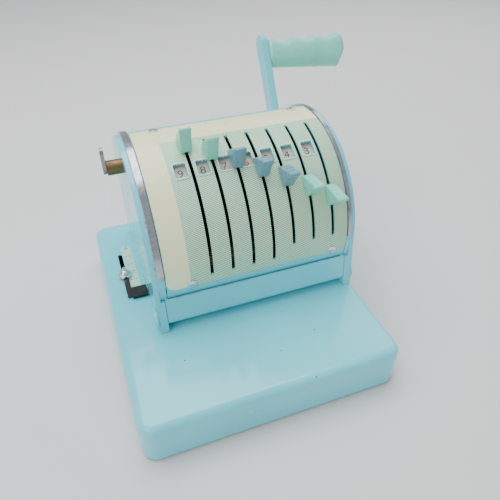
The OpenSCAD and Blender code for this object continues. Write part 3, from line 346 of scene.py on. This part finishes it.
# %% Dark parts
black_gloss = Finish("black enamel", (0.012, 0.012, 0.014), 0.22)
black_gloss.roughness(black_gloss.ramp(black_gloss.noise(80), 0.3, 0.8, 0.15, 0.35))
black_gloss.bump(black_gloss.noise(300), 0.05, 0.0003, round_edges=0.0006)
rubber = Finish("black rubber", (0.02, 0.02, 0.02), 0.8)
rubber.bump(rubber.noise(900), 0.2, 0.0003, round_edges=0.0006)
felt = Finish("inked felt", (0.05, 0.015, 0.03), 0.95)
felt.bump(felt.noise(700, 6), 0.6, 0.0006)
scale_print = Finish("scale print", (0.42, 0.62, 0.50), 0.35)
scale_print.colour(scale_print.blend(scale_print.ramp(scale_print.noise(40), 0.4, 0.7),
                                     (0.46, 0.72, 0.56), (0.58, 0.82, 0.66)))
dress(black_gloss, "gauge_slide")
dress(rubber, "rubber_feet")
dress(felt, "ink_roller")
dress(scale_print, "gauge_scale")

# %% [markdown]
# ## Plastics
# The knobs and the grip are moulded in mint, and three of the knobs in slate. Their edges are worn
# a little paler than their faces.

# %% Plastics
def plastic(name, colour):
    f = Finish(name, colour, 0.3)
    f.shader.inputs["Subsurface Weight"].default_value = 0.06
    f.shader.inputs["Subsurface Scale"].default_value = 0.004
    tone = f.ramp(f.noise(45, 4), 0.35, 0.7)
    base = f.blend(tone, tuple(c * 0.9 for c in colour), colour)
    worn = f.sum("MULTIPLY", f.ramp(f.edge(0.0012), 0.06, 0.3),
                 f.ramp(f.noise(130), 0.5, 0.65, 0.0, 0.3))
    pale = tuple(min(1.0, c * 1.25 + 0.05) for c in colour)
    f.colour(f.blend(worn, base, pale))
    f.roughness(f.ramp(f.noise(70, 4), 0.3, 0.8, 0.22, 0.45))
    f.bump(f.noise(260, 3), 0.06, 0.0004, round_edges=0.0008)
    return f


MINT = (0.22, 0.74, 0.58)
SLATE = (0.15, 0.34, 0.42)
mint_plastic = plastic("mint plastic", MINT)
slate_plastic = plastic("slate plastic", SLATE)
dress(mint_plastic, "handle_grip", "lever_knob_1", "lever_knob_2", "lever_knob_6", "lever_knob_7")
dress(slate_plastic, "lever_knob_3", "lever_knob_4", "lever_knob_5")

# %% [markdown]
# ## Shaped pieces
# Some parts need a little more than the solid model gives. The front panel's top edge rises over
# the end of the hood and the grip loses its facets: both start from a copy of the solid. The knobs
# are drawn anew from the side, in the solids' own places. The gauge's scale gets marks and a rivet.
# Every piece moves with the body of the part that it belongs to.

# %% Shaped pieces
def copy_of(name):
    """The part's mesh as a bmesh with its seams merged."""
    shape = bmesh.new()
    shape.from_mesh(parts[name].data)
    bmesh.ops.remove_doubles(shape, verts=shape.verts[:], dist=0.00001)
    bmesh.ops.recalc_face_normals(shape, faces=shape.faces[:])
    return shape


def add_piece(name, shape, finish, body):
    """Turns a bmesh into an object that moves with a body."""
    mesh = bpy.data.meshes.new(name)
    shape.to_mesh(mesh)
    shape.free()
    piece = bpy.data.objects.new(name, mesh)
    bpy.context.scene.collection.objects.link(piece)
    mesh.materials.append(finish.material)
    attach(piece, body)
    return piece


def smooth(shape, sharp_deg=32):
    """Smooth faces, with a crease wherever two of them meet at more than the given angle."""
    for face in shape.faces:
        face.smooth = True
    for edge in shape.edges:
        if len(edge.link_faces) == 2:
            edge.smooth = edge.calc_face_angle(0) < math.radians(sharp_deg)
    return shape


def tall_front_panel(rise=0.0056):
    """The panel with its top edge carried up over the hood's end."""
    shape = copy_of("front_panel")
    top = max(v.co.z for v in shape.verts)
    for v in shape.verts:
        if v.co.z > top - 0.0008:
            v.co += Vector((0, rise * 0.11, rise))
    piece = add_piece("front_panel_tall", smooth(shape), aqua_enamel, "frame")
    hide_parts("front_panel")


def smooth_grip():
    """The grip with its flattest facets merged and the rest shaded smooth."""
    shape = copy_of("handle_grip")
    bmesh.ops.dissolve_limit(shape, angle_limit=math.radians(0.5), verts=shape.verts[:],
                             edges=shape.edges[:])
    bmesh.ops.triangulate(shape, faces=[f for f in shape.faces if len(f.verts) > 4])
    piece = add_piece("handle_grip_moulded", smooth(shape, 24), mint_plastic, "handle")
    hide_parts("handle_grip")


KNOB_SIDE = ((-7.3, 0.0), (-7.3, 1.2), (-4.6, 6.6), (-0.6, 12.6), (3.4, 18.2), (5.4, 21.2),
             (6.4, 21.9), (7.6, 21.9), (8.3, 21.2), (8.5, 18.6), (9.0, 12.0), (9.9, 6.0),
             (10.8, 1.2), (10.8, 0.0))
KNOB_TALL = 21.9
SLATE_KNOBS = (3, 4, 5)


def lever_knob(k):
    """A knob drawn from the side: a long sloping back, a narrow tip and a scooped front."""
    low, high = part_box("lever_knob_%d" % k)
    half = (high.x - low.x) / 2
    middle = (high.x + low.x) / 2
    turn = math.radians(LEVER_DEG[k - 1])
    outward = Vector((0, -math.sin(turn), math.cos(turn)))
    ahead = Vector((0, -math.cos(turn), -math.sin(turn)))
    points = [v.co - DRUM for v in parts["lever_knob_%d" % k].data.vertices]
    seat = min(Vector((0, p.y, p.z)).dot(outward) for p in points)
    tip = max(Vector((0, p.y, p.z)).dot(outward) for p in points)
    scale = (tip - seat) / KNOB_TALL
    shape = bmesh.new()
    rings = []
    for x in (-half, half):
        ring = []
        for ahead_mm, out_mm in KNOB_SIDE:
            place = (DRUM + ahead * (ahead_mm * 0.001) + outward * (seat + out_mm * scale))
            ring.append(shape.verts.new((middle + x, place.y, place.z)))
        rings.append(ring)
    shape.faces.new(rings[0])
    shape.faces.new(rings[1][::-1])
    count = len(KNOB_SIDE)
    for n in range(count):
        m = (n + 1) % count
        shape.faces.new((rings[0][n], rings[1][n], rings[1][m], rings[0][m]))
    bmesh.ops.recalc_face_normals(shape, faces=shape.faces[:])
    rim = [e for e in shape.edges if len(e.link_faces) == 2
           and e.calc_face_angle(0) > math.radians(50)]
    bmesh.ops.bevel(shape, geom=rim, offset=0.0009, offset_type="OFFSET", segments=3,
                    profile=0.5, affect="EDGES", material=-1, clamp_overlap=True)
    bmesh.ops.triangulate(shape, faces=[f for f in shape.faces if len(f.verts) > 4])
    mint = k not in SLATE_KNOBS
    piece = add_piece("lever_knob_%d_moulded" % k, smooth(shape, 40),
                      mint_plastic if mint else slate_plastic, "lever_%d" % k)
    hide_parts("lever_knob_%d" % k)


def scale_marks():
    """A rivet head and four pairs of short printed lines on the gauge's scale."""
    low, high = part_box("gauge_scale")
    middle = (low.x + high.x) / 2
    lines = bmesh.new()
    for n in range(4):
        y = low.y + (high.y - low.y) * (0.2 + 0.18 * n)
        for end in (-1, 1):
            bmesh.ops.create_grid(lines, x_segments=1, y_segments=1, size=0.5, matrix=(
                Matrix.Translation((middle + end * 0.0022, y, high.z + 0.00005))
                @ Matrix.Diagonal((0.0022, 0.0007, 1, 1))))
    bmesh.ops.solidify(lines, geom=lines.faces[:], thickness=0.00004)
    add_piece("gauge_scale_marks", lines, black_gloss, "frame")
    rivet = bmesh.new()
    bmesh.ops.create_uvsphere(rivet, u_segments=24, v_segments=12, radius=0.0017, matrix=(
        Matrix.Translation((middle, high.y - 0.0035, high.z)) @ Matrix.Diagonal((1, 1, 0.45, 1))))
    add_piece("gauge_scale_rivet", smooth(rivet, 80), old_nickel, "frame")


tall_front_panel()
smooth_grip()
for k in range(1, COLUMNS + 1):
    lever_knob(k)
scale_marks()
print("panel raised over the hood's end, grip smoothed, knobs rounded, scale marked")

# %% [markdown]
# ## Numerals on the selectors
# Each selector carries its digits on a narrow band, and one digit shows in its window. A digit is
# type turned into mesh, then wrapped: its width stays on X and its height runs along the arc.

# %% Numerals
DIGIT_HEIGHT = 0.0118
WINDOW_OFFSET = 0.0094
INK_LIFT = 0.00006
RED_COLUMNS = (2, 3)


def digit_mesh(text, height):
    curve = bpy.data.curves.new("digit " + text, "FONT")
    curve.body = text
    curve.align_x = "CENTER"
    curve.align_y = "CENTER"
    curve.size = height
    curve.resolution_u = 3
    holder = bpy.data.objects.new("digit " + text, curve)
    bpy.context.scene.collection.objects.link(holder)
    bpy.context.view_layer.update()
    mesh = bpy.data.meshes.new_from_object(holder.evaluated_get(
        bpy.context.evaluated_depsgraph_get()))
    bpy.data.objects.remove(holder)
    return mesh


dark_ink = Finish("dark numeral ink", (0.05, 0.04, 0.035), 0.5)
dark_ink.roughness(dark_ink.ramp(dark_ink.noise(300), 0.3, 0.7, 0.4, 0.65))
red_ink = Finish("red numeral ink", (0.42, 0.06, 0.04), 0.5)
red_ink.roughness(red_ink.ramp(red_ink.noise(300), 0.3, 0.7, 0.4, 0.65))
digits = {d: digit_mesh(str(d), DIGIT_HEIGHT) for d in range(10)}


def numerals(i):
    """All the digits of one selector: the lever's first place shows 9, the next 8, and so on."""
    shape = bmesh.new()
    for d, flat in digits.items():
        print_piece = bmesh.new()
        print_piece.from_mesh(flat)
        centre = WINDOW_DEG + LEVER_DEG[i] - LEVER_DEG[0] - STEP_DEG * (9 - d)
        for v in print_piece.verts:
            degrees = centre - math.degrees(v.co.y * 0.86 / BAND_R)
            v.co = on_drum(SLOT_X[i] - WINDOW_OFFSET + v.co.x * 0.9, degrees, BAND_R + INK_LIFT)
        placed = bpy.data.meshes.new("placed")
        print_piece.to_mesh(placed)
        print_piece.free()
        shape.from_mesh(placed)
        bpy.data.meshes.remove(placed)
    bmesh.ops.solidify(shape, geom=shape.faces[:], thickness=-0.00004)
    ink = red_ink if i in RED_COLUMNS else dark_ink
    add_piece("numerals_%d" % (i + 1), shape, ink, "lever_%d" % (i + 1))


for i in range(COLUMNS):
    numerals(i)
print("digits on", COLUMNS, "bands")

# %% [markdown]
# ## Floor, light and camera
# A pale floor and three large soft lamps give the even light of a product table. The camera stands
# where the photograph was taken from: high in front, a little to the left, looking down.

# %% Floor
floor_shape = bmesh.new()
bmesh.ops.create_grid(floor_shape, x_segments=2, y_segments=2, size=3.0)
floor_mesh = bpy.data.meshes.new("floor")
floor_shape.to_mesh(floor_mesh)
floor_shape.free()
floor = bpy.data.objects.new("floor", floor_mesh)
bpy.context.scene.collection.objects.link(floor)
floor_finish = Finish("pale floor", (0.72, 0.72, 0.72), 0.75)
floor_mesh.materials.append(floor_finish.material)


# %% Light
LAMP_AIM = Vector((0, 0, 0.1))


def soft_lamp(name, place, size, power):
    lamp = bpy.data.lights.new(name, "AREA")
    lamp.shape = "RECTANGLE"
    lamp.size, lamp.size_y = size
    lamp.energy = power
    holder = bpy.data.objects.new(name, lamp)
    bpy.context.scene.collection.objects.link(holder)
    aim = LAMP_AIM - Vector(place)
    holder.matrix_world = (Matrix.Translation(Vector(place))
                           @ aim.to_track_quat("-Z", "Y").to_matrix().to_4x4())


soft_lamp("overhead", (-0.2, 0.35, 1.5), (1.6, 1.2), 28)
soft_lamp("left front", (-1.2, -1.0, 1.1), (1.1, 1.1), 11)
soft_lamp("right back", (1.1, 0.9, 1.0), (1.0, 1.0), 5.5)
world = bpy.data.worlds.new("studio")
world.use_nodes = True
world.node_tree.nodes["Background"].inputs["Color"].default_value = (0.93, 0.95, 1.0, 1)
world.node_tree.nodes["Background"].inputs["Strength"].default_value = 0.60
bpy.context.scene.world = world

# %% Camera
FOCAL_PIXELS = 492.4
PICTURE_PIXELS = 500
SENSOR_MM = 36
CAMERA_PLACE = Vector((-0.1055, -0.3521, 0.3728))
YAW, PITCH, ROLL = math.radians(20.266), math.radians(38.594), math.radians(-0.342)
forward = Vector((math.sin(YAW) * math.cos(PITCH), math.cos(YAW) * math.cos(PITCH),
                  -math.sin(PITCH)))
side = Vector((math.cos(YAW), -math.sin(YAW), 0))
above = side.cross(forward)
turned_side = math.cos(ROLL) * side + math.sin(ROLL) * above
turned_above = -math.sin(ROLL) * side + math.cos(ROLL) * above
lens = bpy.data.cameras.new("camera")
lens.lens = FOCAL_PIXELS / PICTURE_PIXELS * SENSOR_MM
lens.sensor_width = SENSOR_MM
lens.clip_start = 0.01
camera = bpy.data.objects.new("camera", lens)
bpy.context.scene.collection.objects.link(camera)
camera.matrix_world = Matrix.Translation(CAMERA_PLACE) @ Matrix(
    (turned_side, turned_above, -forward)).transposed().to_4x4()
bpy.context.scene.camera = camera
